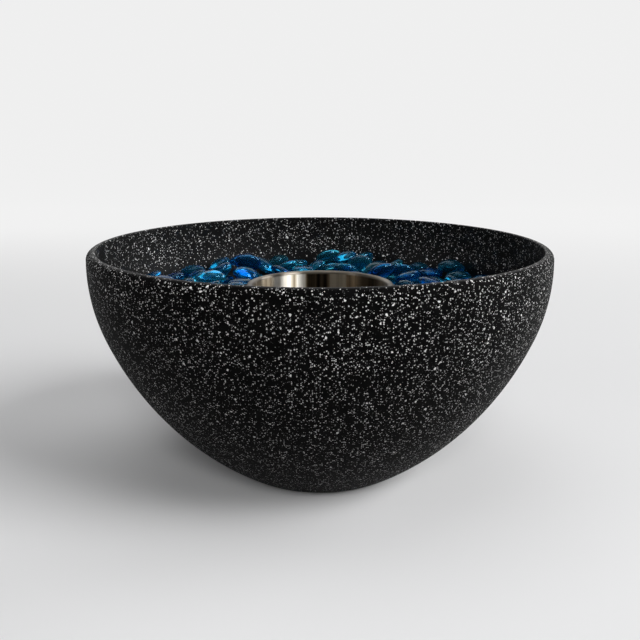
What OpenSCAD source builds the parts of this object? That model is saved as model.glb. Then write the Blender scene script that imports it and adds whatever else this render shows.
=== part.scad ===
// Tabletop fire bowl: a cast bowl, a tray of glass gems and a fuel cup that lifts out

/* [Bowl] */
// Largest outside diameter
bowl_d = 300; // [280:1:320]
// Height from the table to the top of the lip
bowl_h = 155; // [148:1:164]
// Diameter of the foot, where the side would meet the base plane
foot_d = 104; // [92:1:116]
// Wall thickness
wall = 5.5; // [5:0.5:12]
// Round on the outer edge of the lip
lip_round = 4.5; // [3:0.5:8]
// Round on the inner edge of the lip
lip_edge = 0.75; // [0.5:0.25:3]
// Height from the widest circle up to the top of the lip
belly_drop = 9.4; // [8:0.2:14]
// Radius of the upper side curve
shoulder_arc = 115; // [100:1:130]
// Angle below the widest circle where the upper side curve ends
blend_angle = 22.4; // [18:0.2:28]
// Thickness of the floor
floor_t = 16; // [10:1:24]
// Round between the side and the base
foot_round = 12; // [6:0.5:16]

/* [Bead tray] */
// Depth of the tray's floor below the top of the lip
bed_depth = 49; // [46:1:58]
// Thickness of the tray's floor
tray_t = 10; // [7:0.5:14]
// Width of the ledge that carries the tray
ledge_w = 9; // [6:0.5:14]
// Height of the ledge at its inner edge
ledge_h = 4; // [2:0.5:10]
// Gap between the tray's edge and the bowl's wall
tray_gap = 0.6; // [0.4:0.1:1.2]
// Thickness of the collar round the cup
collar_w = 9.5; // [7.5:0.5:13]
// Round on the collar's outer top edge
collar_round = 5; // [2:0.5:6]

/* [Fuel cup] */
// Inside diameter, which takes a can of fuel gel
cup_bore_d = 89.2; // [84:0.2:94]
// Thickness of the cup's sheet metal
cup_sheet = 0.8; // [0.6:0.1:1.2]
// Inside depth below the rim
cup_depth = 62; // [50:1:85]
// Depth of the cup's rim below the top of the lip
cup_drop = 26.4; // [22:0.2:31]
// Radius of the bead rolled at the rim
roll_r = 1.4; // [1:0.1:1.8]
// Flat part of the rim, between the bend and the rolled bead
rim_flat = 0.1; // [0:0.1:3]
// Inside radius at the bottom corner
cup_corner = 7; // [3:0.5:12]
// Clearance round the cup in the collar
cup_clear = 0.6; // [0.4:0.1:1.5]
// Clearance between the rolled bead and its seat on the collar
seat_gap = 0.3; // [0.2:0.05:0.5]

/* [Glass gems] */
// Mean diameter of a gem
gem_d = 21; // [18:0.5:24]
// Mean thickness of a gem
gem_t = 9.5; // [8:0.25:11]
// Share by which the gems differ in size
gem_spread = 0.06; // [0:0.01:0.1]
// Least clearance between neighbouring pieces
gem_gap = 0.35; // [0.2:0.05:0.5]
// Steepest lean that a gem settles to
gem_lean = 34; // [10:1:45]
// How far the highest gem may stand above the cup's rim
gem_heap = 6; // [0:0.2:8]
// Spacing of the top layer, as a share of the bottom layer's
gem_crowding = 0.77; // [0.75:0.01:1]

/* [Foot pads] */
// Diameter of a pad
pad_d = 18; // [12:1:24]
// Thickness of a pad
pad_t = 1.5; // [1:0.25:3]
// Distance from a pad to the edge of the flat base
pad_inset = 3; // [1:0.5:8]
// Number of pads
pad_count = 4; // [3:1:6]

/* [Hidden] */
$fn = 96;
far = 1000;
golden_angle = 137.508;
side_steps = 20;
round_steps = 8;
dome_steps = 3;
edge_steps = 6;

// Side curves: the upper arc's centre, then the lower arc tangent to it and through the foot circle
belly_z = bowl_h - belly_drop;
arc1 = [bowl_d / 2 - shoulder_arc, belly_z];
blend_dir = [cos(blend_angle), -sin(blend_angle)];
foot_offset = [foot_d / 2, pad_t] - arc1;
foot_along = foot_offset * blend_dir;
lower_arc = (2 * shoulder_arc * foot_along - foot_offset * foot_offset - shoulder_arc * shoulder_arc)
    / (2 * (foot_along - shoulder_arc));
arc2 = arc1 - (lower_arc - shoulder_arc) * blend_dir;

// Lip: a large outer round and a small inner one, tangent to the wall's faces and to the top plane
lip_r = min(lip_round, wall - lip_edge);
lip_z = bowl_h - lip_r;
lip_centre = [arc1[0] + sqrt(pow(shoulder_arc - lip_r, 2) - pow(lip_z - belly_z, 2)), lip_z];
lip_angle = atan2(lip_z - belly_z, lip_centre[0] - arc1[0]);
edge_z = bowl_h - lip_edge;
edge_centre = [arc1[0] + sqrt(pow(shoulder_arc - wall + lip_edge, 2) - pow(edge_z - belly_z, 2)), edge_z];
edge_angle = atan2(edge_z - belly_z, edge_centre[0] - arc1[0]);

// Foot: a round tangent to the lower arc and to the base plane
foot_z = pad_t + foot_round;
flat_r = arc2[0] + sqrt(pow(lower_arc - foot_round, 2) - pow(foot_z - arc2[1], 2));
foot_angle = atan2(arc2[1] - foot_z, flat_r - arc2[0]);

// Inside radius of the bowl's wall at a height
function wall_r(z) =
    z > belly_z - (shoulder_arc - wall) * sin(blend_angle)
    ? arc1[0] + sqrt(pow(shoulder_arc - wall, 2) - pow(z - arc1[1], 2))
    : arc2[0] + sqrt(pow(lower_arc - wall, 2) - pow(z - arc2[1], 2));

// Fuel cup and collar
cup_r = cup_bore_d / 2;
rim_z = bowl_h - cup_drop;
rim_bend = 2 * cup_sheet;
roll_end = 180 - asin(1 - cup_sheet / roll_r);
roll_at = cup_r + rim_bend + rim_flat - roll_r * cos(roll_end);
seat_z = rim_z - 2 * roll_r - seat_gap;
collar_bore = cup_r + cup_sheet + cup_clear;
collar_r = collar_bore + collar_w;

// Tray
bed_z = bowl_h - bed_depth;
tray_z = bed_z - tray_t;
ledge_r = wall_r(tray_z) - ledge_w;
ledge_foot_z = tray_z - ledge_h - ledge_w;
floor_z = pad_t + floor_t;

// Pads
pad_ring = flat_r - pad_inset - pad_d / 2;

// Gems: room for the largest one, and the step of the spiral that spaces the top layer
spiral_spacing = 1.67;
gem_pitch = gem_d * (1 + gem_spread) + gem_gap;
gem_room = gem_pitch / 2 + gem_gap / 2;
top_step = gem_crowding * gem_pitch / spiral_spacing;
fall_passes = 3;
gem_groups = 12;
shift_tries = 6;
lean_tries = 8;
shift_by = gem_d / 6;
rim_disc = disc_points([[1, 12]]);
rough_disc = disc_points([[0, 1], [0.55, 6], [0.85, 8], [0.995, 12]]);
fine_disc = disc_points([[0, 1], [0.3, 6], [0.6, 12], [0.85, 18], [0.96, 24], [0.995, 36]]);

// A steady value from 0 to 1 for a gem and a trait
function vary(i, trait) = let (v = sin(i * 127.1 + trait * 311.7) * 43758.5453) v - floor(v);

// Points of a unit disc, given as rings of [radius, count]
function disc_points(rings) =
    [for (ring = rings) for (i = [0:ring[1] - 1])
        let (turn = 360 * (i + ring[0]) / ring[1]) ring[0] * [cos(turn), sin(turn)]];

// Plan outline, mid-plane slope, half depth and short plan radius of a leaning gem
function gem_form(a, b, lean, bearing) =
    let (
        n = [sin(lean) * cos(bearing), sin(lean) * sin(bearing), cos(lean)],
        k = 1 / (b * b) - 1 / (a * a),
        m33 = 1 / (a * a) + k * n[2] * n[2],
        m13 = k * n[0] * n[2],
        m23 = k * n[1] * n[2]
    )
    [
        1 / (a * a) + k * n[0] * n[0] - m13 * m13 / m33,
        k * n[0] * n[1] - m13 * m23 / m33,
        1 / (a * a) + k * n[1] * n[1] - m23 * m23 / m33,
        -m13 / m33,
        -m23 / m33,
        1 / sqrt(m33),
        sqrt(pow(a * cos(lean), 2) + pow(b * sin(lean), 2))
    ];

// A gem is [place, half width, half thickness, lean, bearing, form], with half its clearance all round
function gem(place, a, b, lean, bearing) = [place, a, b, lean, bearing, gem_form(a, b, lean, bearing)];

// Height of a gem's upper (side 1) or lower (side -1) surface over a plan point, or undef beside it
function gem_surface(g, p, side) =
    let (
        f = g[5],
        dx = p[0] - g[0][0],
        dy = p[1] - g[0][1],
        inside = 1 - f[0] * dx * dx - 2 * f[1] * dx * dy - f[2] * dy * dy
    )
    inside < 0 ? undef : g[0][2] + f[3] * dx + f[4] * dy + side * f[5] * sqrt(inside);

// Points over a gem's plan outline
function gem_plan(g, disc) =
    let (along = g[5][6] * [cos(g[4]), sin(g[4])], across = g[1] * [-sin(g[4]), cos(g[4])])
    [for (p = disc) [g[0][0], g[0][1]] + p[0] * along + p[1] * across];

// Vertical half height of a leaning gem
function gem_reach(g) = sqrt(pow(g[1] * sin(g[3]), 2) + pow(g[2] * cos(g[3]), 2));

// How far each gem below reaches above a gem's lower side, at points of the upper gem's outline
function lifts(g, below, disc) =
    let (plan = gem_plan(g, disc), under = [for (p = plan) gem_surface(g, p, -1)])
    [for (other = below) for (k = [0:len(plan) - 1])
        let (top = gem_surface(other, plan[k], 1))
        if (top != undef && under[k] != undef) top - under[k]];

// The same at points of the lower gems' outlines
function lifts_below(g, below, disc) =
    [for (other = below) for (p = gem_plan(other, disc))
        let (under = gem_surface(g, p, -1))
        if (under != undef) gem_surface(other, p, 1) - under];

function at_height(g, z) = gem([g[0][0], g[0][1], z], g[1], g[2], g[3], g[4]);

// A gem lowered until it rests on the tray's floor or on the gems below it
function rested(g, below) =
    at_height(g, max(concat([bed_z + gem_reach(g)], lifts(at_height(g, 0), below, rough_disc))));

function rested_closely(g, below) =
    let (low = at_height(g, 0))
    at_height(g, max(concat(
        [bed_z + gem_reach(g)],
        lifts(low, below, fine_disc),
        lifts_below(low, below, fine_disc)
    )));

// How far a gem's edge passes the wall or the collar, or 0
function trespass(g) =
    max([for (p = gem_plan(g, rim_disc))
        let (z = g[0][2] + g[5][3] * (p[0] - g[0][0]) + g[5][4] * (p[1] - g[0][1]))
        max(0, norm(p) - wall_r(z) + gem_gap, collar_r - norm(p))]);

// The gem that lies lowest, where any trespass weighs far more than height
function lowest(gems) =
    let (costs = [for (g = gems) g[0][2] + far * trespass(g)], least = min(costs))
    [for (k = [0:len(gems) - 1]) if (costs[k] == least) gems[k]][0];

// Gems near enough in plan to touch one that may still move
function near(g, placed, play) =
    [for (other = placed)
        if (norm([g[0][0] - other[0][0], g[0][1] - other[0][1]]) < g[1] + other[1] + play) other];

// A gem that falls at a point, rolls to the lowest place near it and then leans to lie lowest
function fallen(i, point, placed) =
    let (
        size = 1 + gem_spread * (2 * vary(i, 1) - 1),
        a = (size * gem_d + gem_gap) / 2,
        b = (size * gem_t + gem_gap) / 2,
        turn = 360 * vary(i, 2),
        start = gem([point[0], point[1], 0], a, b, 0, 0),
        around = near(start, placed, shift_by),
        rolled = lowest([for (k = [0:shift_tries])
            let (way = turn + 360 * k / shift_tries, by = k == 0 ? 0 : shift_by)
            rested(gem(start[0] + by * [cos(way), sin(way), 0], a, b, 0, 0), around)]),
        below = near(rolled, around, 0),
        leant = lowest([for (k = [0:lean_tries]) for (lean = k == 0 ? [0] : [gem_lean / 2, gem_lean])
            rested(gem(rolled[0], a, b, lean, turn + 360 * k / lean_tries), below)])
    )
    rested_closely(leant, below);

// The points of a sunflower spiral that lie between two radii
function spiral(step, r_min, r_max) =
    [for (i = [ceil(pow(r_min / step, 2)):floor(pow(r_max / step, 2))])
        step * sqrt(i) * [cos(golden_angle * i), sin(golden_angle * i)]];

// The bottom layer lies flat on the tray's floor, in rings from the collar to the wall
first_ring = collar_r + gem_room;
last_ring = wall_r(bed_z) - gem_room;
ring_gaps = floor((last_ring - first_ring) / gem_pitch);
function ring_points(r, start) =
    let (count = floor(180 / asin(gem_pitch / (2 * r))))
    [for (i = [0:count - 1]) let (turn = start + 360 * i / count) r * [cos(turn), sin(turn)]];
bed_points =
    [for (k = [0:ring_gaps])
        each ring_points(first_ring + (last_ring - first_ring) * k / ring_gaps, 360 * vary(k, 4))];
bed_gems =
    [for (i = [0:len(bed_points) - 1])
        let (
            size = 1 + gem_spread * (2 * vary(i, 3) - 1),
            a = (size * gem_d + gem_gap) / 2,
            b = (size * gem_t + gem_gap) / 2
        )
        gem([bed_points[i][0], bed_points[i][1], bed_z + b], a, b, 0, 0)];

// The top layer falls on it in passes, leaving out gems with no room or piled too high
top_points = spiral(top_step, first_ring - shift_by, wall_r(bed_z + gem_t) - gem_room + shift_by);
function fall(placed, k = 0) =
    let (
        count = len(top_points),
        pass = floor(fall_passes * k / count),
        i = fall_passes * (k - ceil(pass * count / fall_passes)) + pass
    )
    k >= count ? [] :
    let (g = i < count ? fallen(i, top_points[i], placed) : undef)
    g == undef || trespass(g) > 0 || g[0][2] + gem_reach(g) > rim_z + gem_heap
    ? fall(placed, k + 1)
    : concat([g], fall(concat(placed, [g]), k + 1));
top_gems = fall(bed_gems);

// Points along an arc, from one direction to another
function arc(centre, r, from, to, steps) =
    [for (i = [0:steps]) let (turn = from + (to - from) * i / steps) centre + r * [cos(turn), sin(turn)]];

// Direction, from the lower side arc's centre, of the wall's inner face at a height
function inner_turn(z) = asin((z - arc2[1]) / (lower_arc - wall));

// Half section of the bowl: foot, outer side, lip, inner side, ledge and floor
module bowl_section() {
    polygon(concat(
        [[0, pad_t]],
        arc([flat_r, foot_z], foot_round, -90, -foot_angle, round_steps),
        arc(arc2, lower_arc, -foot_angle, -blend_angle, side_steps),
        arc(arc1, shoulder_arc, -blend_angle, lip_angle, side_steps),
        arc(lip_centre, lip_r, lip_angle, 90, round_steps),
        arc(edge_centre, lip_edge, 90, edge_angle + 180, round_steps),
        arc(arc1, shoulder_arc - wall, edge_angle, -blend_angle, side_steps),
        arc(arc2, lower_arc - wall, -blend_angle, inner_turn(tray_z), round_steps),
        [[ledge_r, tray_z], [ledge_r, tray_z - ledge_h]],
        arc(arc2, lower_arc - wall, inner_turn(ledge_foot_z), inner_turn(floor_z), side_steps),
        [[0, floor_z]]
    ));
}

module bowl() {
    color("dimgray") rotate_extrude() bowl_section();
}

// Tray with the collar that stands round the cup
module bead_tray() {
    color("dimgray") rotate_extrude() polygon(concat(
        [
            [collar_bore, tray_z],
            [wall_r(tray_z) - tray_gap, tray_z],
            [wall_r(bed_z) - tray_gap, bed_z],
            [collar_r, bed_z]
        ],
        arc([collar_r - collar_round, seat_z - collar_round], collar_round, 0, 90, round_steps),
        [[collar_bore, seat_z]]
    ));
}

// Deep-drawn cup with a rolled rim
module fuel_cup() {
    cup_z = rim_z - cup_depth;
    corner = [cup_r - cup_corner, cup_z + cup_corner];
    bend = [cup_r + rim_bend, rim_z - rim_bend];
    roll = [roll_at, rim_z - roll_r];
    color("silver") rotate_extrude() polygon(concat(
        [[0, cup_z - cup_sheet]],
        arc(corner, cup_corner + cup_sheet, -90, 0, round_steps),
        arc(bend, rim_bend - cup_sheet, 180, 90, round_steps),
        arc(roll, roll_r, roll_end, 90 + 360, 2 * round_steps),
        arc(bend, rim_bend, 90, 180, round_steps),
        arc(corner, cup_corner, 0, -90, round_steps),
        [[0, cup_z]]
    ));
}

// One pad, counted round from half a step after the X axis
module foot_pad(i) {
    color("black")
        rotate(360 * (i - 0.5) / pad_count)
            translate([pad_ring, 0, 0])
                cylinder(d = pad_d, h = pad_t);
}

// One gem: two shallow domes and a round edge, all tangent
module gem_solid(a, b) {
    edge_r = b / 2;
    dome_r = (pow(a - edge_r, 2) + b * b - edge_r * edge_r) / (2 * (b - edge_r));
    meet = atan2(dome_r - b, a - edge_r);
    rotate_extrude() polygon(concat(
        arc([0, dome_r - b], dome_r, -90, -meet, dome_steps),
        arc([a - edge_r, 0], edge_r, -meet, meet, edge_steps),
        arc([0, b - dome_r], dome_r, meet, 90, dome_steps)
    ));
}

// Every so many gems of a layer, so that those of one group lie apart
module gem_group(gems, group) {
    color("teal")
        for (i = [group - 1:gem_groups:len(gems) - 1])
            translate(gems[i][0])
                rotate([0, gems[i][3], gems[i][4]])
                    gem_solid(gems[i][1] - gem_gap / 2, gems[i][2] - gem_gap / 2);
}

bowl();
bead_tray();
fuel_cup();
for (i = [1:pad_count]) foot_pad(i);
for (i = [1:gem_groups]) gem_group(bed_gems, i);
for (i = [1:gem_groups]) gem_group(top_gems, i);
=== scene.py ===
"""Looks of a tabletop fire bowl: cast bowl, gem tray, glass gems, fuel cup and foot pads."""
import logging
import math
import random
from collections.abc import Iterable
from dataclasses import dataclass, field
from enum import Enum

import bpy
import numpy as np
from mathutils import Matrix, Vector


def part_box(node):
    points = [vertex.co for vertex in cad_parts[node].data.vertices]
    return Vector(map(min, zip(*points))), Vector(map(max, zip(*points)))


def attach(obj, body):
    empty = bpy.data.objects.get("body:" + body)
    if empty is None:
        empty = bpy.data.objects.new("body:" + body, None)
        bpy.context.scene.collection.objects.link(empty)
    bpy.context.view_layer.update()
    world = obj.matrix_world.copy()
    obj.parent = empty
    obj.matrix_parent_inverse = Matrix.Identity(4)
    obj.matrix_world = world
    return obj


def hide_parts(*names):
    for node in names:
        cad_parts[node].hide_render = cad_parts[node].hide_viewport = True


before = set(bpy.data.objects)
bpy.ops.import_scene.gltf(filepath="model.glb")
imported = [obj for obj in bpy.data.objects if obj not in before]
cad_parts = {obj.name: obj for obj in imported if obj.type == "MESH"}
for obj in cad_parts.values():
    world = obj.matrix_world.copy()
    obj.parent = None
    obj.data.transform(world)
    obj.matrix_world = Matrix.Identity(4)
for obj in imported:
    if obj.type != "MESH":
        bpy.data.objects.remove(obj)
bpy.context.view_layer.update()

log = logging.getLogger("fire_bowl")

Point = tuple[float, float]
Colour = tuple[float, float, float, float]
Stop = tuple[float, Colour]
Socket = bpy.types.NodeSocket

# Most values of a noise lie in this span.
NOISE_SPAN = (0.3, 0.7)


def grey(level: float, warmth: float = 0.0) -> Colour:
    """Return an opaque grey, a little warmer for a warmth above 0."""
    return (level * (1 + warmth), level, level * (1 - warmth), 1.0)


def arc(centre: Point, radius: float, start: float, stop: float, steps: int) -> list[Point]:
    """Return points along an arc of a half section.

    Args:
        centre: Radius and height of the arc's centre.
        radius: Radius of the arc.
        start: First direction, in degrees.
        stop: Last direction, in degrees.
        steps: Number of chords.

    Returns:
        Points as radius and height, both ends included.
    """
    turns = [math.radians(start + (stop - start) * i / steps) for i in range(steps + 1)]
    return [(centre[0] + radius * math.cos(t), centre[1] + radius * math.sin(t)) for t in turns]


class Bench:
    """Modelling moves that several pieces share."""

    SMOOTH_ANGLE = math.radians(32)
    WELD = 1e-6

    @staticmethod
    def clear() -> None:
        """Leave nothing selected before the next operator."""
        if bpy.context.object and bpy.context.object.mode != "OBJECT":
            bpy.ops.object.mode_set(mode="OBJECT")
        bpy.ops.object.select_all(action="DESELECT")

    @staticmethod
    def pick(*pieces: bpy.types.Object) -> None:
        """Select only these pieces and make the first one active.

        Args:
            pieces: Pieces to select.
        """
        Bench.clear()
        for piece in pieces:
            piece.select_set(True)
        bpy.context.view_layer.objects.active = pieces[0]

    @staticmethod
    def smooth(piece: bpy.types.Object) -> None:
        """Shade a piece smooth, with creases at its sharp edges."""
        Bench.pick(piece)
        bpy.ops.object.shade_smooth_by_angle(angle=Bench.SMOOTH_ANGLE)

    @staticmethod
    def turned(name: str, outline: list[Point], steps: int) -> bpy.types.Object:
        """Draw a half section point by point and spin it round the upright axis.

        Args:
            name: Name of the piece.
            outline: Points of the section as radius and height.
            steps: Number of steps round the axis.

        Returns:
            The turned piece, welded, with its faces outwards.
        """
        Bench.clear()
        bpy.ops.mesh.primitive_plane_add(size=outline[0][1] + 0.01)
        piece = bpy.context.object
        piece.name = piece.data.name = name
        bpy.ops.object.mode_set(mode="EDIT")
        bpy.ops.mesh.select_mode(type="VERT")
        bpy.ops.mesh.select_all(action="SELECT")
        bpy.ops.mesh.merge(type="CENTER")
        bpy.ops.transform.translate(value=(outline[0][0], 0, outline[0][1]))
        for (r0, z0), (r1, z1) in zip(outline, outline[1:]):
            bpy.ops.mesh.extrude_region_move(TRANSFORM_OT_translate={"value": (r1 - r0, 0, z1 - z0)})
        bpy.ops.mesh.select_all(action="SELECT")
        bpy.ops.mesh.spin(steps=steps, angle=2 * math.pi, center=(0, 0, 0), axis=(0, 0, 1))
        bpy.ops.mesh.select_all(action="SELECT")
        bpy.ops.mesh.remove_doubles(threshold=Bench.WELD)
        bpy.ops.mesh.normals_make_consistent(inside=False)
        bpy.ops.object.mode_set(mode="OBJECT")
        Bench.smooth(piece)
        return piece

    @staticmethod
    def select_where(piece: bpy.types.Object, chosen: Iterable[bool]) -> None:
        """Select vertices of a piece in edit mode.

        Args:
            piece: Piece that is in edit mode.
            chosen: Whether each vertex is wanted, in the mesh's order.
        """
        bpy.ops.mesh.select_mode(type="VERT")
        bpy.ops.mesh.select_all(action="DESELECT")
        bpy.ops.object.mode_set(mode="OBJECT")
        for vertex, wanted in zip(piece.data.vertices, chosen):
            vertex.select = bool(wanted)
        bpy.ops.object.mode_set(mode="EDIT")

    @staticmethod
    def fit(piece: bpy.types.Object, body: str, slot: str, *nodes: str) -> None:
        """Put a piece on its body and in place of its solids.

        Args:
            piece: The finished piece.
            body: Body that it moves with.
            slot: Material slot of the record; not used.
            nodes: Solids that it stands for.
        """
        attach(piece, body)
        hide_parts(*nodes)
        log.info("%s: %d faces, on %s", piece.name, len(piece.data.polygons), body)


class NodeSheet:
    """Places and links the nodes of one shader tree."""

    def __init__(self, tree: bpy.types.NodeTree) -> None:
        """Start on an empty tree."""
        self.tree = tree
        tree.nodes.clear()

    def fill(self, node: bpy.types.Node, inputs: dict) -> bpy.types.Node:
        """Set or link the inputs of a node.

        Args:
            node: Node to fill.
            inputs: Values, or sockets to link from, by input name or number.

        Returns:
            The same node.
        """
        for key, value in inputs.items():
            if isinstance(value, Socket):
                self.tree.links.new(value, node.inputs[key])
            else:
                node.inputs[key].default_value = value
        return node

    def place(self, kind: str, inputs: dict | None = None, **settings: object) -> bpy.types.Node:
        """Add a node.

        Args:
            kind: Node type without its prefix.
            inputs: Values, or sockets to link from, by input name or number.
            settings: Properties of the node.

        Returns:
            The new node.
        """
        node = self.tree.nodes.new("ShaderNode" + kind)
        for name, value in settings.items():
            setattr(node, name, value)
        return self.fill(node, inputs or {})

    def math(self, operation: str, *values: object) -> Socket:
        """Return the result of a Math node on values or sockets."""
        return self.place("Math", dict(enumerate(values)), operation=operation).outputs[0]

    def length(self, across: Socket, up: Socket) -> Socket:
        """Return the straight distance made by two steps at right angles."""
        squares = [self.math("POWER", step, 2.0) for step in (across, up)]
        return self.math("SQRT", self.math("ADD", *squares))

    def vector(self, operation: str, inputs: dict) -> Socket:
        """Return the result of a Vector Math node."""
        return self.place("VectorMath", inputs, operation=operation).outputs[0]

    def axes(self, vector: Socket) -> tuple[Socket, ...]:
        """Return the three parts of a vector."""
        return tuple(self.place("SeparateXYZ", {0: vector}).outputs)

    def noise(self, vector: Socket, scale: object, detail: float) -> Socket:
        """Return the value of a noise."""
        inputs = {"Vector": vector, "Scale": scale, "Detail": detail}
        return self.place("TexNoise", inputs).outputs["Fac"]

    def spread(self, value: Socket, low: object, high: object,
               to_low: object = 0.0, to_high: object = 1.0) -> Socket:
        """Return a value stretched smoothly from one span to another."""
        inputs = {"Value": value, "From Min": low, "From Max": high, "To Min": to_low, "To Max": to_high}
        return self.place("MapRange", inputs, interpolation_type="SMOOTHSTEP").outputs["Result"]

    def mix(self, share: object, first: object, second: object) -> Socket:
        """Return two colours mixed by a share."""
        return self.place("Mix", {0: share, 6: first, 7: second}, data_type="RGBA").outputs[2]

    def ramp(self, value: Socket, stops: Iterable[Stop]) -> Socket:
        """Turn a value into a colour.

        Args:
            value: Value from 0 to 1.
            stops: Places and colours of the ramp, in order.

        Returns:
            The ramp's colour.
        """
        node = self.place("ValToRGB", {0: value})
        elements = node.color_ramp.elements
        stops = list(stops)
        while len(elements) < len(stops):
            elements.new(1.0)
        for element, (place, colour) in zip(elements, stops):
            element.position, element.color = place, colour
        return node.outputs["Color"]

    def bump(self, height: Socket, strength: float, depth: float) -> Socket:
        """Return the normal of a bumpy surface."""
        inputs = {"Height": height, "Strength": strength, "Distance": depth}
        return self.place("Bump", inputs).outputs["Normal"]

    def group(self, tree: bpy.types.NodeTree, inputs: dict) -> bpy.types.NodeOutputs:
        """Place a shared group with its own values and return its outputs."""
        return self.fill(self.place("Group", node_tree=tree), inputs).outputs

    def seen(self) -> Socket:
        """Tell rays that are looked along from light that bounces on.

        Returns:
            1 for rays from the camera, a mirror or glass, and 0 for others.
        """
        path = self.place("LightPath").outputs
        direct = self.math("ADD", path["Is Camera Ray"], path["Is Glossy Ray"])
        return self.math("ADD", direct, path["Is Transmission Ray"])


class SharedGroups:
    """Shader groups that are used more than once, each built once."""

    RAG_SCALE = 1.7
    LEAST_SIZE = 0.4
    CORE = 0.86
    BROAD_SCALE = 0.17
    BROAD_SHARE = 0.6

    @staticmethod
    def _begin(name: str, numbers: Iterable[str], outputs: Iterable[str]) -> tuple[NodeSheet, dict]:
        """Make a group with its sockets.

        Args:
            name: Name of the group.
            numbers: Names of its number inputs, which follow a vector input.
            outputs: Names of its number outputs.

        Returns:
            The group's node sheet, and its inputs by name.
        """
        tree = bpy.data.node_groups.new(name, "ShaderNodeTree")
        tree.interface.new_socket("Vector", in_out="INPUT", socket_type="NodeSocketVector")
        for label in numbers:
            tree.interface.new_socket(label, in_out="INPUT", socket_type="NodeSocketFloat")
        for label in outputs:
            tree.interface.new_socket(label, in_out="OUTPUT", socket_type="NodeSocketFloat")
        sheet = NodeSheet(tree)
        return sheet, {socket.name: socket for socket in tree.nodes.new("NodeGroupInput").outputs}

    @staticmethod
    def _end(sheet: NodeSheet, results: dict[str, Socket]) -> bpy.types.NodeTree:
        """Link a group's results to its outputs and return its tree."""
        sheet.fill(sheet.tree.nodes.new("NodeGroupOutput"), results)
        return sheet.tree

    @staticmethod
    def flecks() -> bpy.types.NodeTree:
        """Scatter ragged flecks, one in some of the cells of a mosaic.

        Returns:
            The group, with a mask of the flecks and the brightness of each.
        """
        name = "scattered flecks"
        if name in bpy.data.node_groups:
            return bpy.data.node_groups[name]
        sheet, given = SharedGroups._begin(name, ("Scale", "Share", "Size", "Ragged"), ("Mask", "Tone"))
        rough_scale = sheet.math("MULTIPLY", given["Scale"], SharedGroups.RAG_SCALE)
        noise = sheet.place("TexNoise", {"Vector": given["Vector"], "Scale": rough_scale, "Detail": 2.0})
        push = sheet.vector("SUBTRACT", {0: noise.outputs["Color"], 1: (0.5, 0.5, 0.5)})
        reach = sheet.math("DIVIDE", given["Ragged"], given["Scale"])
        pushed = sheet.vector("SCALE", {0: push, "Scale": reach})
        place = sheet.vector("ADD", {0: given["Vector"], 1: pushed})
        cells = sheet.place("TexVoronoi", {"Vector": place, "Scale": given["Scale"]})
        chance, width, tone = sheet.place("SeparateColor", {0: cells.outputs["Color"]}).outputs
        there = sheet.math("LESS_THAN", chance, given["Share"])
        least = SharedGroups.LEAST_SIZE
        radius = sheet.math("MULTIPLY", given["Size"], sheet.math("MULTIPLY_ADD", width, 1 - least, least))
        core = sheet.math("MULTIPLY", radius, SharedGroups.CORE)
        disc = sheet.spread(cells.outputs["Distance"], radius, core)
        return SharedGroups._end(sheet, {"Mask": sheet.math("MULTIPLY", disc, there), "Tone": tone})

    @staticmethod
    def grain() -> bpy.types.NodeTree:
        """Roughen a cast or moulded face, finely and broadly.

        Returns:
            The group, with the height of the grain.
        """
        name = "fine grain"
        if name in bpy.data.node_groups:
            return bpy.data.node_groups[name]
        sheet, given = SharedGroups._begin(name, ("Scale",), ("Height",))
        fine = sheet.place("TexNoise", {
            "Vector": given["Vector"], "Scale": given["Scale"], "Detail": 4.0, "Roughness": 0.6})
        broad_scale = sheet.math("MULTIPLY", given["Scale"], SharedGroups.BROAD_SCALE)
        broad = sheet.noise(given["Vector"], broad_scale, 2.0)
        height = sheet.math("MULTIPLY_ADD", broad, SharedGroups.BROAD_SHARE, fine.outputs["Fac"])
        return SharedGroups._end(sheet, {"Height": height})


def new_finish(name: str) -> tuple[bpy.types.Material, NodeSheet, Socket, bpy.types.Node]:
    """Start a finish.

    Args:
        name: Name of the material.

    Returns:
        The material, its node sheet, the object coordinates and the surface shader.
    """
    material = bpy.data.materials.new(name)
    material.use_nodes = True
    sheet = NodeSheet(material.node_tree)
    coords = sheet.place("TexCoord").outputs["Object"]
    shader = sheet.place("BsdfPrincipled")
    sheet.place("OutputMaterial", {"Surface": shader.outputs["BSDF"]})
    return material, sheet, coords, shader


@dataclass(frozen=True)
class Flecks:
    """One grade of fleck: cells in a metre, share of cells, size, raggedness and its two tones."""

    scale: float
    share: float
    size: float
    ragged: float
    dark: float
    light: float


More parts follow.
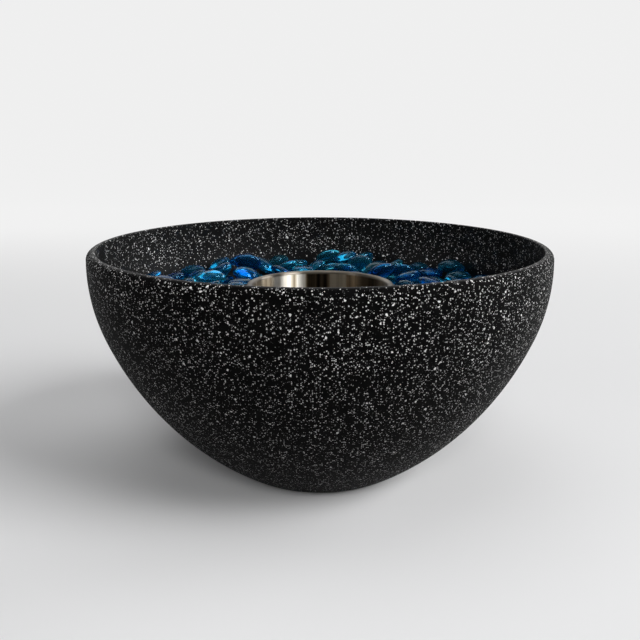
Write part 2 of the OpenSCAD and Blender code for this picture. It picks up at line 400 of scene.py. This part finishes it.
@dataclass(frozen=True)
class CastFlecked:
    """Matte black cast composite with grey flecks and white chips, plainer and sealed on the inside."""

    name: str = "cast flecked black"
    ground: tuple[Colour, Colour] = (grey(0.001), grey(0.003))
    mottle_scale: float = 160.0
    mottle_span: tuple[float, float] = (0.35, 0.7)
    grades: tuple[Flecks, ...] = (
        Flecks(1500.0, 0.12, 0.5, 0.5, 0.05, 0.5),
        Flecks(1000.0, 0.34, 0.49, 0.7, 0.6, 1.0),
        Flecks(330.0, 0.16, 0.28, 0.7, 1.0, 1.0),
    )
    fleck_warmth: float = 0.012
    drift_scale: float = 22.0
    drift_dim: float = 0.7
    grain_scale: float = 900.0
    fleck_rise: float = 0.5
    bump: tuple[float, float] = (0.35, 0.0003)
    roughness: tuple[float, float] = (0.66, 0.5)
    wall_centre: Point = (0.035, 0.1456)
    wall_middle: float = 0.1125
    wall_blend: float = 0.001
    bare_span: tuple[float, float] = (0.114, 0.13)
    inside_share: float = 0.75
    inside_seal: float = 0.26

    def _depth(self, sheet: NodeSheet, coords: Socket) -> Socket:
        """Measure how far a point is from the centre of the wall's arc.

        Args:
            sheet: Sheet of the material.
            coords: Object coordinates.

        Returns:
            The distance in the half section.
        """
        x, y, height = sheet.axes(coords)
        across = sheet.math("SUBTRACT", sheet.length(x, y), self.wall_centre[0])
        up = sheet.math("SUBTRACT", height, self.wall_centre[1])
        return sheet.length(across, up)

    def make(self) -> bpy.types.Material:
        """Mix the finish.

        Returns:
            The material.
        """
        material, sheet, coords, shader = new_finish(self.name)
        depth = self._depth(sheet, coords)
        wall = (self.wall_middle - self.wall_blend, self.wall_middle + self.wall_blend)
        bare = sheet.spread(sheet.axes(coords)[2], *self.bare_span, 0.0, self.inside_share)
        fewer = sheet.spread(depth, *wall, bare, 1.0)
        mottle = sheet.noise(coords, self.mottle_scale, 3.0)
        colour = sheet.mix(sheet.spread(mottle, *self.mottle_span), *self.ground)
        drift = sheet.noise(coords, self.drift_scale, 2.0)
        density = sheet.spread(drift, *NOISE_SPAN, self.drift_dim, 1.0)
        cover = 0.0
        for grade in self.grades:
            spots = sheet.group(SharedGroups.flecks(), {
                "Vector": coords,
                "Scale": grade.scale,
                "Share": sheet.math("MULTIPLY", fewer, grade.share),
                "Size": grade.size,
                "Ragged": grade.ragged,
            })
            shade = sheet.mix(spots["Tone"], grey(grade.dark), grey(grade.light, self.fleck_warmth))
            mask = sheet.math("MULTIPLY", spots["Mask"], density)
            colour = sheet.mix(mask, colour, shade)
            cover = sheet.math("MAXIMUM", cover, mask)
        grain = sheet.group(SharedGroups.grain(), {"Vector": coords, "Scale": self.grain_scale})["Height"]
        sheet.fill(shader, {
            "Base Color": colour,
            "Roughness": sheet.spread(cover, 0.0, 1.0, *self.roughness),
            "Normal": sheet.bump(sheet.math("MULTIPLY_ADD", cover, self.fleck_rise, grain), *self.bump),
            "Specular IOR Level": 0.03,
            "Sheen Weight": 0.01,
            "Sheen Roughness": 0.4,
            "Coat Weight": sheet.spread(depth, *wall, self.inside_seal, 0.0),
            "Coat Roughness": 0.36,
        })
        return material


@dataclass(frozen=True)
class BrushedSteel:
    """Stainless sheet, finely brushed round the cup, with broad upright bands of painted reflection, light
    and dark, that repeat each half turn.
    """

    name: str = "brushed stainless"
    # Colours from near black to pale cream, onto which the brushed lines and the painted reflection bands are
    # mapped.
    tones: tuple[Stop, ...] = (
        (0.0, (0.012, 0.009, 0.006, 1.0)),
        (0.35, (0.19, 0.145, 0.095, 1.0)),
        (0.65, (0.60, 0.535, 0.42, 1.0)),
        (0.95, (0.94, 0.905, 0.83, 1.0)),
    )
    # Levels of the painted reflection bands by place round each half turn: upright stripes of reflected light
    # and shade, painted into the colour.
    painted_reflection_bands: tuple[tuple[float, float], ...] = (
        (0.0, 0.35), (0.08, 0.3), (0.2, 0.12), (0.31, 0.28), (0.345, 0.15), (0.375, 0.62), (0.445, 0.55),
        (0.465, 0.03), (0.565, 0.05), (0.58, 0.95), (0.615, 1.0), (0.635, 0.3), (0.66, 0.85), (0.75, 0.9),
        (0.78, 0.45), (0.92, 0.4), (1.0, 0.35),
    )
    # Upright streaks that make the painted reflection bands uneven.
    reflection_streak_scale: float = 9.0
    reflection_streak_depth: float = 0.1
    line_scale: tuple[float, float] = (1.5, 2600.0)
    line_depth: float = 0.06
    smear_scale: float = 60.0
    smear_depth: float = 0.1
    roughness: tuple[float, float] = (0.28, 0.36)
    bump: tuple[float, float] = (0.12, 0.0001)
    # The rolled rim is painted a darker, warmer tone: a painted shade.
    rim_painted_shade: Colour = (0.27, 0.24, 0.2, 1.0)
    rim_span: tuple[float, float] = (0.1262, 0.1274)

    def make(self) -> bpy.types.Material:
        """Mix the finish.

        Returns:
            The material.
        """
        material, sheet, coords, shader = new_finish(self.name)
        x, y, height = sheet.axes(coords)
        around = sheet.math("ARCTAN2", y, x)
        brushed = sheet.place("CombineXYZ", {
            0: sheet.math("MULTIPLY", around, self.line_scale[0]),
            1: sheet.math("MULTIPLY", height, self.line_scale[1]),
        })
        lines = sheet.noise(brushed.outputs[0], 1.0, 3.0)
        # Painted reflection: light and dark upright bands by angle round the cup, made uneven by upright
        # streaks, stand in for reflected lamps and dark surroundings.
        half_turn = sheet.math("FRACT", sheet.math("MULTIPLY_ADD", around, 1 / math.pi, 1.0))
        painted_reflection_bands = sheet.ramp(half_turn, [(place, grey(level)) for place, level in self.painted_reflection_bands])
        way = sheet.vector("NORMALIZE", {0: sheet.place("CombineXYZ", {0: x, 1: y}).outputs[0]})
        reflection_streaks = sheet.noise(way, self.reflection_streak_scale, 3.0)
        uneven = sheet.spread(reflection_streaks, *NOISE_SPAN, -self.reflection_streak_depth, self.reflection_streak_depth)
        painted_reflection_level = sheet.math("ADD", painted_reflection_bands, uneven)
        # The fine brushed lines are the metal's own; the bands under them are painted reflection.
        tone = sheet.ramp(sheet.math("MULTIPLY_ADD", lines, self.line_depth, painted_reflection_level), self.tones)
        smears = sheet.noise(coords, self.smear_scale, 4.0)
        brush_roughness = sheet.spread(lines, *NOISE_SPAN, *self.roughness)
        sheet.fill(shader, {
            # Base colour: the painted reflection bands with brushed lines, and the painted shade on the
            # rolled rim.
            "Base Color": sheet.mix(sheet.spread(height, *self.rim_span), tone, self.rim_painted_shade),
            "Metallic": 1.0,
            "Roughness": sheet.math("MULTIPLY_ADD", smears, self.smear_depth, brush_roughness),
            "Anisotropic": 1.0,
            "Anisotropic Rotation": 0.25,
            "Tangent": sheet.place("Tangent", direction_type="RADIAL", axis="Z").outputs["Tangent"],
            "Normal": sheet.bump(lines, *self.bump),
        })
        return material


class GemTint(Enum):
    """Glass colours of the gems, from the deepest to the palest."""

    NAVY = (0.0, (0.008, 0.21, 0.66, 1.0))
    BLUE = (0.3, (0.01, 0.33, 0.80, 1.0))
    TEAL = (0.65, (0.02, 0.50, 0.86, 1.0))
    AQUA = (1.0, (0.10, 0.71, 0.92, 1.0))


@dataclass(frozen=True)
class GemGlass:
    """Clear coloured glass, fire polished, in four blended tints."""

    name: str = "gem glass"
    tone_map: str = "gem_tone"
    swirl_scale: float = 110.0
    swirl_depth: float = 0.1
    wave_scale: float = 170.0
    bump: tuple[float, float] = (0.02, 0.0006)
    roughness: tuple[float, float] = (0.02, 0.05)

    def make(self) -> bpy.types.Material:
        """Mix the finish.

        Returns:
            The material.
        """
        material, sheet, coords, shader = new_finish(self.name)
        tone = sheet.place("Attribute", attribute_name=self.tone_map).outputs["Fac"]
        swirl = sheet.noise(coords, self.swirl_scale, 1.0)
        shade = sheet.math("ADD", tone, sheet.spread(swirl, *NOISE_SPAN, -self.swirl_depth, self.swirl_depth))
        sheet.fill(shader, {
            "Base Color": sheet.ramp(shade, [tint.value for tint in GemTint]),
            "Roughness": sheet.spread(swirl, *NOISE_SPAN, *self.roughness),
            "IOR": 1.5,
            "Transmission Weight": 0.97,
            "Specular Tint": (0.25, 0.6, 0.85, 1.0),
            "Normal": sheet.bump(sheet.noise(coords, self.wave_scale, 1.0), *self.bump),
        })
        return material


@dataclass(frozen=True)
class PadRubber:
    """Black moulded rubber."""

    name: str = "pad rubber"
    tones: tuple[Colour, Colour] = (grey(0.012), grey(0.03))
    grain_scale: float = 2200.0
    grain_span: tuple[float, float] = (0.5, 1.1)
    bump: tuple[float, float] = (0.3, 0.0002)
    roughness: tuple[float, float] = (0.7, 0.85)

    def make(self) -> bpy.types.Material:
        """Mix the finish.

        Returns:
            The material.
        """
        material, sheet, coords, shader = new_finish(self.name)
        grain = sheet.group(SharedGroups.grain(), {"Vector": coords, "Scale": self.grain_scale})["Height"]
        sheet.fill(shader, {
            "Base Color": sheet.mix(sheet.spread(grain, *self.grain_span), *self.tones),
            "Roughness": sheet.spread(grain, *self.grain_span, *self.roughness),
            "Normal": sheet.bump(grain, *self.bump),
        })
        return material


@dataclass
class CastBowl:
    """The cast shell, with its rounded lip, the tray's ledge and its foot."""

    width: float = 0.300
    height: float = 0.155
    foot_width: float = 0.104
    wall: float = 0.0055
    lip: float = 0.0045
    lip_edge: float = 0.00075
    belly_drop: float = 0.0094
    shoulder: float = 0.115
    blend: float = 22.4
    floor: float = 0.016
    foot_round: float = 0.012
    stand: float = 0.0015
    ledge_z: float = 0.096
    ledge_width: float = 0.009
    ledge_height: float = 0.004
    steps: int = 160

    def __post_init__(self) -> None:
        """Work out the two side arcs, the lip and the foot."""
        turn = math.radians(self.blend)
        way = (math.cos(turn), -math.sin(turn))
        self.upper = (self.width / 2 - self.shoulder, self.height - self.belly_drop)
        to_foot = (self.foot_width / 2 - self.upper[0], self.stand - self.upper[1])
        along = to_foot[0] * way[0] + to_foot[1] * way[1]
        square = to_foot[0] ** 2 + to_foot[1] ** 2
        self.side = (2 * self.shoulder * along - square - self.shoulder ** 2) / (2 * (along - self.shoulder))
        back = self.side - self.shoulder
        self.lower = (self.upper[0] - back * way[0], self.upper[1] - back * way[1])
        self.lip_at, self.lip_turn = self._under_top(self.shoulder - self.lip, self.lip)
        inner_reach = self.shoulder - self.wall + self.lip_edge
        self.edge_at, self.edge_turn = self._under_top(inner_reach, self.lip_edge)
        foot_z = self.stand + self.foot_round
        flat = self.lower[0] + math.sqrt((self.side - self.foot_round) ** 2 - (foot_z - self.lower[1]) ** 2)
        self.foot_at = (flat, foot_z)
        self.foot_turn = math.degrees(math.atan2(self.lower[1] - foot_z, flat - self.lower[0]))

    def _under_top(self, reach: float, drop: float) -> tuple[Point, float]:
        """Place a round just under the top plane.

        Args:
            reach: Distance from the upper arc's centre to the round's centre.
            drop: Radius of the round.

        Returns:
            The round's centre, and its direction from the upper arc's centre in degrees.
        """
        rise = self.belly_drop - drop
        run = math.sqrt(reach ** 2 - rise ** 2)
        return (self.upper[0] + run, self.height - drop), math.degrees(math.atan2(rise, run))

    def inner_radius(self, height: float) -> float:
        """Return the radius of the inner face at a height on the lower arc."""
        return self.lower[0] + math.sqrt((self.side - self.wall) ** 2 - (height - self.lower[1]) ** 2)

    def inner_turn(self, height: float) -> float:
        """Return the direction from the lower arc's centre to the inner face at a height."""
        return math.degrees(math.asin((height - self.lower[1]) / (self.side - self.wall)))

    def section(self) -> list[Point]:
        """Draw the half section: foot, side, lip, inner side, ledge and floor.

        Returns:
            Its points as radius and height.
        """
        inside = self.side - self.wall
        floor_z = self.stand + self.floor
        ledge_r = self.inner_radius(self.ledge_z) - self.ledge_width
        under_ledge = self.ledge_z - self.ledge_height
        ledge_root = self.inner_turn(under_ledge - self.ledge_width)
        return [
            (0.0, self.stand),
            *arc(self.foot_at, self.foot_round, -90, -self.foot_turn, 8),
            *arc(self.lower, self.side, -self.foot_turn, -self.blend, 28)[1:],
            *arc(self.upper, self.shoulder, -self.blend, self.lip_turn, 14)[1:],
            *arc(self.lip_at, self.lip, self.lip_turn, 90, 14)[1:],
            *arc(self.edge_at, self.lip_edge, 90, self.edge_turn + 180, 6),
            *arc(self.upper, self.shoulder - self.wall, self.edge_turn, -self.blend, 14)[1:],
            *arc(self.lower, inside, -self.blend, self.inner_turn(self.ledge_z), 6)[1:],
            (ledge_r, self.ledge_z),
            (ledge_r, under_ledge),
            *arc(self.lower, inside, ledge_root, self.inner_turn(floor_z), 10),
            (0.0, floor_z),
        ]

    def build(self) -> bpy.types.Object:
        """Turn the shell."""
        return Bench.turned("cast_bowl", self.section(), self.steps)

    def dress(self, piece: bpy.types.Object, finish: bpy.types.Material) -> None:
        """Give the shell its finish and its place."""
        piece.data.materials.append(finish)
        Bench.fit(piece, "bowl", "cast_composite", "bowl")


@dataclass
class GemTray:
    """The cast tray under the gems, with the collar that stands round the cup."""

    shell: CastBowl = field(default_factory=CastBowl)
    top: float = 0.106
    gap: float = 0.0006
    bore: float = 0.046
    collar: float = 0.0095
    collar_round: float = 0.005
    seat: float = 0.1255
    ease: float = 0.0006
    steps: int = 144

    def section(self) -> list[Point]:
        """Draw the closed half section of tray and collar.

        Returns:
            Its points as radius and height.
        """
        outside = self.bore + self.collar
        shoulder = (outside - self.collar_round, self.seat - self.collar_round)
        underside = self.shell.ledge_z
        points = [
            (self.bore, underside),
            (self.shell.inner_radius(underside) - self.gap, underside),
            (self.shell.inner_radius(self.top) - self.gap, self.top),
            (outside, self.top),
            *arc(shoulder, self.collar_round, 0, 90, 10),
            *arc((self.bore + self.ease, self.seat - self.ease), self.ease, 90, 180, 4),
        ]
        return points + points[:1]

    def build(self) -> bpy.types.Object:
        """Turn the tray."""
        return Bench.turned("gem_tray", self.section(), self.steps)

    def dress(self, piece: bpy.types.Object, finish: bpy.types.Material) -> None:
        """Give the tray its finish and its place."""
        piece.data.materials.append(finish)
        Bench.fit(piece, "bowl", "cast_composite", "bead_tray")


@dataclass
class FuelCup:
    """The deep-drawn steel cup with its rolled rim."""

    bore: float = 0.0446
    sheet: float = 0.0008
    depth: float = 0.062
    rim: float = 0.1286
    roll: float = 0.0014
    rim_flat: float = 0.0001
    corner: float = 0.007
    steps: int = 128

    def section(self) -> list[Point]:
        """Draw the half section of the sheet, from the middle of the base round the rim and back.

        Returns:
            Its points as radius and height.
        """
        floor_z = self.rim - self.depth
        corner = (self.bore - self.corner, floor_z + self.corner)
        bend_r = 2 * self.sheet
        bend = (self.bore + bend_r, self.rim - bend_r)
        roll_end = 180 - math.degrees(math.asin(1 - self.sheet / self.roll))
        roll_reach = self.roll * math.cos(math.radians(roll_end))
        roll = (self.bore + bend_r + self.rim_flat - roll_reach, self.rim - self.roll)
        return [
            (0.0, floor_z - self.sheet),
            *arc(corner, self.corner + self.sheet, -90, 0, 8),
            *arc(bend, bend_r - self.sheet, 180, 90, 5),
            *arc(roll, self.roll, roll_end, 90 + 360, 20),
            *arc(bend, bend_r, 90, 180, 8),
            *arc(corner, self.corner, 0, -90, 8),
            (0.0, floor_z),
        ]

    def build(self) -> bpy.types.Object:
        """Turn the cup."""
        return Bench.turned("fuel_cup_sheet", self.section(), self.steps)

    def dress(self, piece: bpy.types.Object, finish: bpy.types.Material) -> None:
        """Give the cup its finish and its place."""
        piece.data.materials.append(finish)
        Bench.fit(piece, "fuel_cup", "stainless_steel", "fuel_cup")


@dataclass
class FootPads:
    """The rubber pads under the foot."""

    count: int = 4
    width: float = 0.018
    thickness: float = 0.0015
    edge: float = 0.0004
    cup_inset: float = 0.0025
    cup_depth: float = 0.0003
    sides: int = 40
    edge_steps: int = 3
    downward: float = -0.999

    def build(self) -> list[bpy.types.Object]:
        """Model one pad for each solid, in its place, with eased edges and a shallow hollow below."""
        return [self._pad(index) for index in range(1, self.count + 1)]

    def _pad(self, index: int) -> bpy.types.Object:
        """Model one pad.

        Args:
            index: Number of the solid that it stands for.

        Returns:
            The pad, in its place.
        """
        low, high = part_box(f"foot_pad_{index}")
        middle = (low + high) / 2
        Bench.clear()
        bpy.ops.mesh.primitive_cylinder_add(
            vertices=self.sides, radius=self.width / 2, depth=self.thickness, location=middle)
        pad = bpy.context.object
        pad.name = pad.data.name = f"rubber_pad_{index}"
        bpy.ops.object.transform_apply(location=True, rotation=True, scale=True)
        bpy.ops.object.mode_set(mode="EDIT")
        Bench.select_where(pad, [vertex.co.z < middle.z for vertex in pad.data.vertices])
        bpy.ops.mesh.bevel(offset=self.edge, segments=self.edge_steps, affect="EDGES")
        bpy.ops.mesh.select_mode(type="FACE")
        bpy.ops.object.mode_set(mode="OBJECT")
        for face in pad.data.polygons:
            face.select = face.normal.z < self.downward
        bpy.ops.object.mode_set(mode="EDIT")
        bpy.ops.mesh.inset(thickness=self.cup_inset, depth=0)
        bpy.ops.mesh.inset(thickness=self.cup_depth, depth=-self.cup_depth)
        bpy.ops.object.mode_set(mode="OBJECT")
        Bench.smooth(pad)
        return pad

    def dress(self, pads: list[bpy.types.Object], finish: bpy.types.Material) -> None:
        """Give the pads their finish and their places.

        Args:
            pads: Pads in the order of their solids.
            finish: Material of every pad.
        """
        for index, pad in enumerate(pads, 1):
            pad.data.materials.append(finish)
            Bench.fit(pad, "bowl", "pad_rubber", f"foot_pad_{index}")


class GemLayer(Enum):
    """The two layers of the bed, with the segments and rings of their gems."""

    BED = ("bed", 14, 6)
    TOP = ("top", 22, 10)


@dataclass(frozen=True)
class SettledGem:
    """Where one gem lies."""

    middle: Vector
    axis: Vector
    half_width: float


@dataclass
class GemBed:
    """The loose glass gems, each lying where its solid settled."""

    groups: int = 12
    forms: int = 6
    half_width: float = 0.0105
    half_thickness: float = 0.00475
    sink_span: tuple[float, float] = (0.05, 0.3)
    ring_ease: float = 0.985
    flats: int = 2
    flat_from: float = 0.45
    flat_span: tuple[float, float] = (0.02, 0.08)
    polish: float = 0.35
    tint_mean: float = 0.53
    tint_spread: float = 0.27
    seed: int = 11
    glass: GemGlass = field(default_factory=GemGlass)

    def _settled(self, node: str) -> list[SettledGem]:
        """Measure the gems of one solid group.

        Args:
            node: Name of the group's solid.

        Returns:
            The gems in the order of their places.
        """
        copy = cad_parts[node].copy()
        copy.data = copy.data.copy()
        copy.parent = None
        bpy.context.scene.collection.objects.link(copy)
        Bench.pick(copy)
        bpy.ops.object.mode_set(mode="EDIT")
        bpy.ops.mesh.select_all(action="SELECT")
        bpy.ops.mesh.remove_doubles(threshold=Bench.WELD)
        bpy.ops.mesh.separate(type="LOOSE")
        bpy.ops.object.mode_set(mode="OBJECT")
        gems = []
        for part in list(bpy.context.selected_objects):
            points = np.array([vertex.co for vertex in part.data.vertices])
            middle = (points.min(0) + points.max(0)) / 2
            _, axes = np.linalg.eigh(np.cov((points - middle).T))
            axis = Vector(axes[:, 0])
            if axis.z < 0:
                axis.negate()
            across = (points - middle) - np.outer((points - middle) @ np.array(axis), np.array(axis))
            gems.append(SettledGem(Vector(middle), axis, float(np.linalg.norm(across, axis=1).max())))
            mesh = part.data
            bpy.data.objects.remove(part)
            bpy.data.meshes.remove(mesh)
        return sorted(gems, key=lambda gem: (round(gem.middle.x, 5), round(gem.middle.y, 5)))

    def _form(self, layer: GemLayer, index: int, chance: random.Random) -> bpy.types.Object:
        """Model one gem of a layer: a pressed drop with an uneven rim.

        Args:
            layer: Layer that it is for.
            index: Number of the form.
            chance: Source of its unevenness.

        Returns:
            The gem at the origin, as a pattern to copy.
        """
        label, segments, rings = layer.value
        Bench.clear()
        bpy.ops.mesh.primitive_uv_sphere_add(segments=segments, ring_count=rings, radius=self.half_width)
        gem = bpy.context.object
        gem.name = gem.data.name = f"gem_form_{label}_{index}"
        bpy.ops.object.mode_set(mode="EDIT")
        bpy.ops.mesh.select_all(action="SELECT")
        bpy.ops.transform.resize(value=(1, 1, self.half_thickness / self.half_width))
        sink = self.half_thickness * chance.uniform(*self.sink_span)
        for ring in range(1, rings):
            height = self.half_thickness * math.cos(math.pi * ring / rings)
            Bench.select_where(gem, [abs(v.co.z - height) < Bench.WELD for v in gem.data.vertices])
            bpy.ops.transform.translate(value=(0, 0, -sink * math.sin(math.pi * ring / rings) ** 2))
            bpy.ops.transform.resize(value=(self.ring_ease, self.ring_ease, 1), center_override=(0, 0, 0))
        edge = self.flat_from * self.half_width
        for _ in range(self.flats):
            turn = chance.uniform(0, 2 * math.pi)
            way = Vector((math.cos(turn), math.sin(turn), 0))
            Bench.select_where(gem, [v.co.dot(way) > edge for v in gem.data.vertices])
            bpy.ops.transform.translate(value=tuple(-way * self.half_width * chance.uniform(*self.flat_span)))
        bpy.ops.mesh.select_all(action="SELECT")
        bpy.ops.mesh.vertices_smooth(factor=self.polish, repeat=1)
        bpy.ops.object.mode_set(mode="OBJECT")
        bpy.ops.object.shade_smooth()
        tone = gem.data.attributes.new(self.glass.tone_map, "FLOAT", "POINT")
        tone.data.foreach_set("value", [0.0] * len(gem.data.vertices))
        return gem

    def _laid(self, form: bpy.types.Object, gem: SettledGem, chance: random.Random) -> bpy.types.Object:
        """Copy a form to where a gem lies, turned at random about its own axis.

        Args:
            form: Pattern to copy.
            gem: Place, lean and size.
            chance: Source of its turn, side and tint.

        Returns:
            The copy, with its own mesh.
        """
        copy = form.copy()
        copy.data = form.data.copy()
        bpy.context.scene.collection.objects.link(copy)
        lean = Vector((0, 0, 1)).rotation_difference(gem.axis).to_matrix().to_4x4()
        spin = Matrix.Rotation(chance.uniform(0, 2 * math.pi), 4, "Z")
        side = Matrix.Rotation(math.pi * chance.randint(0, 1), 4, "X")
        size = Matrix.Scale(gem.half_width / self.half_width, 4)
        copy.matrix_world = Matrix.Translation(gem.middle) @ lean @ spin @ side @ size
        tone = min(max(chance.gauss(self.tint_mean, self.tint_spread), 0.0), 1.0)
        tones = copy.data.attributes[self.glass.tone_map].data
        tones.foreach_set("value", [tone] * len(copy.data.vertices))
        return copy

    def build(self) -> dict[str, bpy.types.Object]:
        """Lay the gems of each group.

        Returns:
            One piece for each solid group, by the group's name.
        """
        chance = random.Random(self.seed)
        laid = {}
        for layer in GemLayer:
            forms = [self._form(layer, index, chance) for index in range(1, self.forms + 1)]
            for group in range(1, self.groups + 1):
                node = f"gems_{layer.value[0]}_{group}"
                gems = [self._laid(chance.choice(forms), gem, chance) for gem in self._settled(node)]
                Bench.pick(*gems)
                bpy.ops.object.transform_apply(location=True, rotation=True, scale=True)
                bpy.ops.object.join()
                piece = bpy.context.object
                piece.name = piece.data.name = f"glass_{node}"
                laid[node] = piece
            for form in forms:
                mesh = form.data
                bpy.data.objects.remove(form)
                bpy.data.meshes.remove(mesh)
        return laid

    def dress(self, laid: dict[str, bpy.types.Object], finish: bpy.types.Material) -> None:
        """Give the gems their glass and their places.

        Args:
            laid: Pieces by the name of their solid group.
            finish: Glass of every gem.
        """
        for node, piece in laid.items():
            piece.data.materials.append(finish)
            Bench.fit(piece, "bowl", "gem_glass", node)


@dataclass(frozen=True)
class Lamp:
    """One soft studio lamp, and whether glass and mirrors show it."""

    name: str
    place: tuple[float, float, float]
    aim: tuple[float, float, float]
    width: float
    height: float
    power: float
    through_glass: bool = False
    mirrored: bool = True

    def hang(self) -> None:
        """Put the lamp in the scene."""
        data = bpy.data.lights.new(self.name, "AREA")
        data.shape, data.size, data.size_y = "RECTANGLE", self.width, self.height
        data.energy = self.power
        lamp = bpy.data.objects.new(self.name, data)
        lamp.location = self.place
        lamp.visible_transmission = self.through_glass
        lamp.visible_glossy = self.mirrored
        lamp.rotation_euler = (Vector(self.aim) - Vector(self.place)).to_track_quat("-Z", "Y").to_euler()
        bpy.context.scene.collection.objects.link(lamp)


@dataclass
class Studio:
    """Pale sweep, soft lamps and the camera."""

    floor_size: float = 5.0
    sweep_start: float = 1.6
    sweep_radius: float = 1.2
    sweep_steps: int = 24
    table_gap: float = 0.0001
    wall_height: float = 2.5
    paper: Colour = (0.81, 0.81, 0.815, 1.0)
    backdrop: float = 0.86
    floor_glow: float = 0.03
    bounce: float = 0.1
    fade: tuple[float, float] = (0.15, 1.3)
    ambient: Colour = (0.95, 0.97, 1.0, 1.0)
    ambient_level: float = 0.07
    horizon: tuple[float, float] = (0.2, 0.32)
    camera_distance: float = 0.600
    camera_rise: float = 16.65
    camera_tilt: float = 3.1
    aim_height: float = 0.070
    focal: float = 49.4
    sensor: float = 36.0
    clip: tuple[float, float] = (0.02, 20.0)
    lamps: tuple[Lamp, ...] = (
        Lamp("key lamp", (5.4, -3.3, 4.5), (0.0, 0.0, 0.08), 3.9, 3.9, 440.0),
        Lamp("top lamp", (-0.1, 0.1, 3.0), (0.0, 0.0, 0.0), 2.4, 2.4, 19.0, through_glass=True),
        Lamp("near lamp", (0.1, -2.4, 1.5), (0.0, 0.0, 0.1), 0.7, 0.7, 21.0, mirrored=False),
        Lamp("side lamp", (3.0, 1.2, 1.1), (0.0, 0.0, 0.12), 1.6, 1.6, 46.0),
        Lamp("fill lamp", (-2.4, -1.2, 1.3), (0.0, 0.0, 0.08), 0.8, 1.6, 4.5),
    )

    def build(self) -> None:
        """Put up the sweep, lamps, ambient light and camera."""
        self._sweep()
        for lamp in self.lamps:
            lamp.hang()
        self._ambient()
        self._camera()

    def _sweep(self) -> None:
        """Model the paper sweep: a floor that curves up into a wall behind."""
        Bench.clear()
        middle = self.sweep_start - self.floor_size / 2
        bpy.ops.mesh.primitive_plane_add(size=self.floor_size, location=(0, middle, -self.table_gap))
        sweep = bpy.context.object
        sweep.name = sweep.data.name = "paper_sweep"
        bpy.ops.object.transform_apply(location=True, rotation=True, scale=True)
        bpy.ops.object.mode_set(mode="EDIT")
        Bench.select_where(sweep, [v.co.y > middle for v in sweep.data.vertices])
        bpy.ops.mesh.select_mode(type="EDGE")
        bend = arc((0.0, self.sweep_radius), self.sweep_radius, -90, 0, self.sweep_steps)
        for (y0, z0), (y1, z1) in zip(bend, bend[1:]):
            bpy.ops.mesh.extrude_region_move(TRANSFORM_OT_translate={"value": (0, y1 - y0, z1 - z0)})
        bpy.ops.mesh.extrude_region_move(TRANSFORM_OT_translate={"value": (0, 0, self.wall_height)})
        bpy.ops.object.mode_set(mode="OBJECT")
        bpy.ops.object.shade_smooth()
        material, sheet, coords, shader = new_finish("pale paper")
        fade = sheet.spread(sheet.axes(coords)[1], *self.fade)
        seen = sheet.seen()
        pale = sheet.mix(fade, self.paper, grey(0.0))
        sheet.fill(shader, {
            "Base Color": sheet.mix(seen, grey(self.bounce), pale),
            "Roughness": 0.9,
            "Specular IOR Level": 0.1,
            "Emission Color": sheet.mix(fade, grey(self.floor_glow), grey(self.backdrop)),
            "Emission Strength": seen,
        })
        sweep.data.materials.append(material)

    def _ambient(self) -> None:
        """Light the scene softly from all round, with a pale horizon where it is seen."""
        world = bpy.data.worlds.new("soft ambient")
        bpy.context.scene.world = world
        world.use_nodes = True
        sheet = NodeSheet(world.node_tree)
        rise = sheet.axes(sheet.place("TexCoord").outputs["Generated"])[2]
        horizon = sheet.spread(rise, *self.horizon, self.backdrop, self.ambient_level)
        strength = sheet.place("MapRange", {
            "Value": sheet.seen(), "To Min": self.ambient_level, "To Max": horizon})
        glow = sheet.place("Background", {"Color": self.ambient, "Strength": strength.outputs["Result"]})
        sheet.place("OutputWorld", {"Surface": glow.outputs[0]})

    def _camera(self) -> None:
        """Stand the camera in front, a little above the lip."""
        data = bpy.data.cameras.new("camera")
        data.sensor_fit, data.sensor_width, data.lens = "HORIZONTAL", self.sensor, self.focal
        data.clip_start, data.clip_end = self.clip
        camera = bpy.data.objects.new("camera", data)
        rise = math.radians(self.camera_rise)
        camera.location = (0.0, -self.camera_distance * math.cos(rise),
                           self.aim_height + self.camera_distance * math.sin(rise))
        camera.rotation_euler = (math.radians(90 - self.camera_rise + self.camera_tilt), 0.0, 0.0)
        bpy.context.scene.collection.objects.link(camera)
        bpy.context.scene.camera = camera


def main() -> None:
    """Put up the studio, then build and dress every piece."""
    logging.basicConfig(level=logging.INFO, format="%(message)s")
    bpy.context.scene.view_settings.view_transform = "Standard"
    Studio().build()
    cast = CastFlecked().make()
    for assembly, finish in (
        (CastBowl(), cast),
        (GemTray(), cast),
        (FuelCup(), BrushedSteel().make()),
        (FootPads(), PadRubber().make()),
        (GemBed(), GemGlass().make()),
    ):
        assembly.dress(assembly.build(), finish)


if __name__ == "__main__":
    main()
